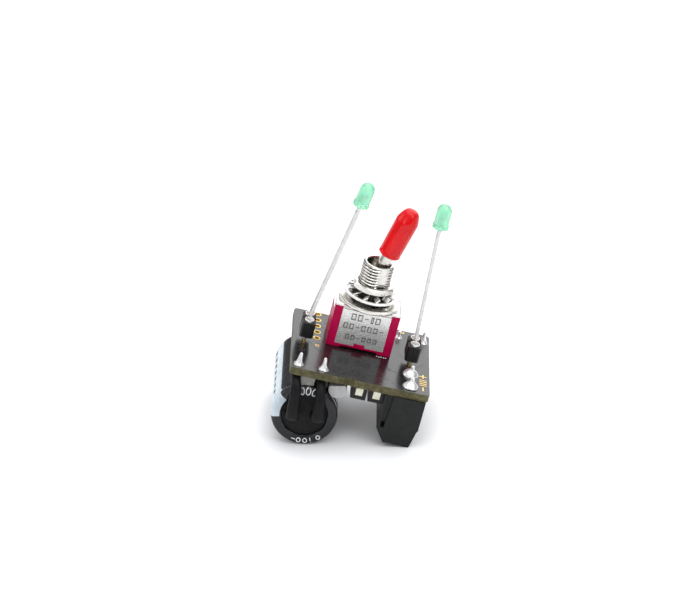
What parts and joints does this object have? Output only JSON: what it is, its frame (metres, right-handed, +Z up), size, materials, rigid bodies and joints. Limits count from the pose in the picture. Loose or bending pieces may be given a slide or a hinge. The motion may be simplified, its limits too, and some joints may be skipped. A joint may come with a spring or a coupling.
{
  "type": "line follower robot",
  "caption": "Tiny line follower robot on one circuit board, with a toggle switch on top, two lamp eyes on long leads, a big capacitor and a terminal block as feet.",
  "frame": {"origin": "middle of the bounding box on the floor", "axes": "+Z up; +Y to the robot's back, away from its line sensors; +X to its right, the side it leans to"},
  "size_m": [0.0354, 0.0272, 0.0519],
  "materials": {
    "solder_mask": "glossy black solder mask over glass fibre",
    "gold": "bright gold plating",
    "solder": "bright tin solder",
    "tinned": "tin plated wire",
    "sleeve_pvc": "glossy black shrunk PVC with a pale stripe",
    "can_aluminium": "drawn aluminium",
    "bung_rubber": "matt black rubber",
    "winding_foil": "wound foil and paper",
    "heatshrink": "satin black heat-shrink",
    "foam": "grey adhesive foam",
    "motor_steel": "nickel plated steel",
    "tungsten": "sintered tungsten alloy",
    "magnet": "sintered magnet",
    "copper": "enamelled copper wire",
    "black_epoxy": "moulded black epoxy",
    "cream_lens": "milky cream lens resin",
    "ceramic_black": "chip resistor, black glaze",
    "ceramic_tan": "chip capacitor, tan ceramic",
    "fuse_resin": "dipped ochre resin",
    "terminal_black": "matt black moulded polyamide",
    "switch_red": "magenta red moulded phenolic",
    "nickel": "nickel plated brass",
    "stamped_steel": "bright stamped steel",
    "silver_contact": "silver plated contact",
    "cap_vinyl": "glossy red dipped vinyl",
    "socket_black": "black glass-filled polyester",
    "lamp_green": "diffused mint green epoxy"
  },
  "bodies": {
    "chassis": {"circuit_board": "solder_mask", "plated_header_holes": "gold", "gold_markings": "gold", "lead_solder_joints": "solder", "power_solder_joints": "solder", "underside_solder_joints": "solder", "capacitor_can": "can_aluminium", "capacitor_sleeve": "sleeve_pvc", "capacitor_bung": "bung_rubber", "capacitor_winding": "winding_foil", "capacitor_leads": "tinned", "lead_sleeves": "heatshrink", "adhesive_pad": "foam", "motor_can": "motor_steel", "motor_end_cap": "black_epoxy", "motor_magnet": "magnet", "line_sensor_housings": "black_epoxy", "line_sensor_windows": "cream_lens", "controller_chip": "black_epoxy", "controller_leads": "tinned", "chip_resistors": "ceramic_black", "chip_capacitors": "ceramic_tan", "motor_driver_transistor": "black_epoxy", "resettable_fuse": "fuse_resin", "fuse_leads": "tinned", "terminal_housing": "terminal_black", "terminal_strips": "tinned", "switch_base": "switch_red", "switch_frame": "stamped_steel", "threaded_bushing": "nickel", "tab_washer": "nickel", "backing_nut": "nickel", "hex_nut": "nickel", "lock_washer": "stamped_steel", "switch_terminals": "silver_contact", "left_eye_socket": "socket_black", "left_socket_contacts": "silver_contact", "right_eye_socket": "socket_black", "right_socket_contacts": "silver_contact"},
    "toggle": {"toggle_lever": "nickel", "lever_cap": "cap_vinyl", "plunger": "black_epoxy", "plunger_spring": "stamped_steel"},
    "rocker": {"contact_rocker": "silver_contact"},
    "left_eye": {"left_lamp": "lamp_green", "left_lamp_leads": "tinned"},
    "right_eye": {"right_lamp": "lamp_green", "right_lamp_leads": "tinned"},
    "front_screw": {"clamp_screw_front": "nickel"},
    "rear_screw": {"clamp_screw_rear": "nickel"},
    "front_cage": {"wire_cage_front": "nickel"},
    "rear_cage": {"wire_cage_rear": "nickel"},
    "motor_rotor": {"motor_shaft": "tinned", "motor_coil": "copper", "eccentric_weight": "tungsten"}
  },
  "joints": [
    {"name": "toggle_swing", "type": "hinge", "parent": "chassis", "child": "toggle", "pos_m": [0.00263, 0.00464, 0.02897], "axis": [0, -1, 0], "range_deg": [0, 26]},
    {"name": "rocker_tilt", "type": "hinge", "parent": "chassis", "child": "rocker", "pos_m": [0.00032, 0.00464, 0.01924], "axis": [0, 1, 0], "range_deg": [0, 16]},
    {"name": "left_eye_unplug", "type": "slide", "parent": "chassis", "child": "left_eye", "axis": [0.2318, 0, 0.9728], "range_m": [0, 0.006]},
    {"name": "right_eye_unplug", "type": "slide", "parent": "chassis", "child": "right_eye", "axis": [0.2318, 0, 0.9728], "range_m": [0, 0.006]},
    {"name": "front_screw_turn", "type": "hinge", "parent": "chassis", "child": "front_screw", "pos_m": [0.00793, -0.00917, 0.00396], "axis": [0.2318, 0, 0.9728], "range_deg": [0, 1152]},
    {"name": "front_cage_slide", "type": "slide", "parent": "chassis", "child": "front_cage", "axis": [-0.2318, 0, -0.9728], "range_m": [0, 0.0016]},
    {"name": "rear_screw_turn", "type": "hinge", "parent": "chassis", "child": "rear_screw", "pos_m": [0.00793, -0.00409, 0.00396], "axis": [0.2318, 0, 0.9728], "range_deg": [0, 1152]},
    {"name": "rear_cage_slide", "type": "slide", "parent": "chassis", "child": "rear_cage", "axis": [-0.2318, 0, -0.9728], "range_m": [0, 0.0016]},
    {"name": "motor_spin", "type": "hinge", "parent": "chassis", "child": "motor_rotor", "pos_m": [-0.00449, -0.00276, 0.01201], "axis": [0, 1, 0], "continuous": true}
  ],
  "couplings": [
    {"joint": "rocker_tilt", "follows": "toggle_swing", "ratio": 0.61538},
    {"joint": "front_screw_turn", "follows": "front_cage_slide", "rad_per_m": 12566},
    {"joint": "rear_screw_turn", "follows": "rear_cage_slide", "rad_per_m": 12566}
  ]
}
